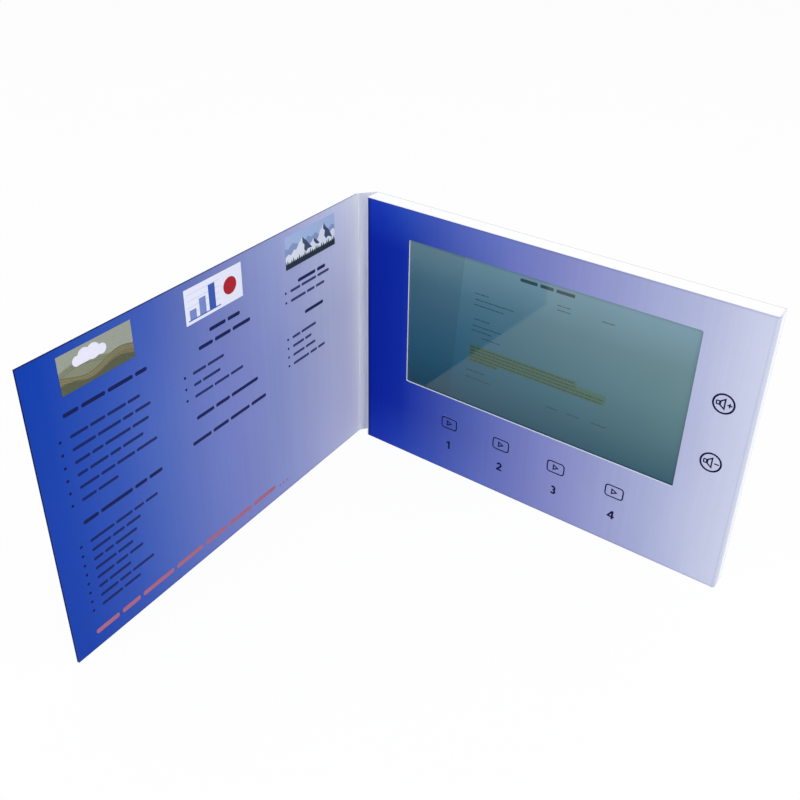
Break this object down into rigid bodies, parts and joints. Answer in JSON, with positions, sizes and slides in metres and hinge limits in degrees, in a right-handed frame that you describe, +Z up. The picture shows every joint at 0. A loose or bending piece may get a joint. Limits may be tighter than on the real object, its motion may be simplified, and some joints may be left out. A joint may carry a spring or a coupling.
{
  "type": "lcd video brochure",
  "caption": "Upright card brochure with a screen in its case, press pads below and beside the screen, and a cover that folds on a spine.",
  "frame": {"origin": "middle of the case's bottom face, which it stands on", "axes": "+Z up, +X along the case away from the spine, +Y through the case from the screen to its back"},
  "size_m": [0.2176, 0.2181, 0.148],
  "materials": {
    "printed_card": "satin",
    "core_board": "matt",
    "back_card": "satin",
    "spine_card": "satin",
    "cover_page": "satin",
    "cover_board": "matt",
    "cover_card": "satin",
    "pressed_steel": "satin",
    "screen_glass": "polished",
    "array_glass": "polished",
    "backlight_plastic": "gloss",
    "ribbon_film": "gloss",
    "green_board": "gloss",
    "black_chip": "matt",
    "connector_plastic": "matt",
    "battery_pouch": "satin",
    "speaker_paper": "matt",
    "magnet_metal": "polished",
    "reed_glass": "polished",
    "stem_plastic": "matt"
  },
  "bodies": {
    "case": {"front_sheet": "printed_card", "core_frame": "core_board", "back_sheet": "back_card", "screen_frame": "pressed_steel", "screen_glass": "screen_glass", "screen_array_glass": "array_glass", "backlight": "backlight_plastic", "rear_plate": "pressed_steel", "ribbon": "ribbon_film", "main_board": "green_board", "processor_chip": "black_chip", "memory_chip": "black_chip", "ribbon_connector": "connector_plastic", "battery_connector": "connector_plastic", "battery": "battery_pouch", "speaker_basket": "pressed_steel", "speaker_cone": "speaker_paper", "speaker_magnet": "magnet_metal", "play_board": "green_board", "volume_board": "green_board", "socket_board": "green_board", "socket_shell": "pressed_steel", "socket_tongue": "black_chip", "reed_switch": "reed_glass", "play_1_switch": "black_chip", "play_2_switch": "black_chip", "play_3_switch": "black_chip", "play_4_switch": "black_chip", "volume_up_switch": "black_chip", "volume_down_switch": "black_chip"},
    "spine": {"spine_strip": "spine_card"},
    "cover": {"cover_inner_page": "cover_page", "cover_board": "cover_board", "cover_outer_sheet": "cover_card", "closing_magnet": "magnet_metal"},
    "play_1_button": {"play_1_pad": "printed_card", "play_1_stem": "stem_plastic"},
    "play_2_button": {"play_2_pad": "printed_card", "play_2_stem": "stem_plastic"},
    "play_3_button": {"play_3_pad": "printed_card", "play_3_stem": "stem_plastic"},
    "play_4_button": {"play_4_pad": "printed_card", "play_4_stem": "stem_plastic"},
    "volume_up_button": {"volume_up_pad": "printed_card", "volume_up_stem": "stem_plastic"},
    "volume_down_button": {"volume_down_pad": "printed_card", "volume_down_stem": "stem_plastic"}
  },
  "joints": [
    {"name": "spine_fold", "type": "hinge", "parent": "case", "child": "spine", "pos_m": [-0.1056, 0.0043, 0], "axis": [0, 0, 1], "range_deg": [-52.8, 37.2]},
    {"name": "cover_fold", "type": "hinge", "parent": "spine", "child": "cover", "pos_m": [-0.11165, -0.00367, 0], "axis": [0, 0, 1], "range_deg": [-40.2, 49.8]},
    {"name": "play_1_press", "type": "slide", "parent": "case", "child": "play_1_button", "axis": [0, 1, 0], "range_m": [0, 0.0004], "stiffness_N_per_m": 800},
    {"name": "play_2_press", "type": "slide", "parent": "case", "child": "play_2_button", "axis": [0, 1, 0], "range_m": [0, 0.0004], "stiffness_N_per_m": 800},
    {"name": "play_3_press", "type": "slide", "parent": "case", "child": "play_3_button", "axis": [0, 1, 0], "range_m": [0, 0.0004], "stiffness_N_per_m": 800},
    {"name": "play_4_press", "type": "slide", "parent": "case", "child": "play_4_button", "axis": [0, 1, 0], "range_m": [0, 0.0004], "stiffness_N_per_m": 800},
    {"name": "volume_up_press", "type": "slide", "parent": "case", "child": "volume_up_button", "axis": [0, 1, 0], "range_m": [0, 0.0004], "stiffness_N_per_m": 800},
    {"name": "volume_down_press", "type": "slide", "parent": "case", "child": "volume_down_button", "axis": [0, 1, 0], "range_m": [0, 0.0004], "stiffness_N_per_m": 800}
  ]
}
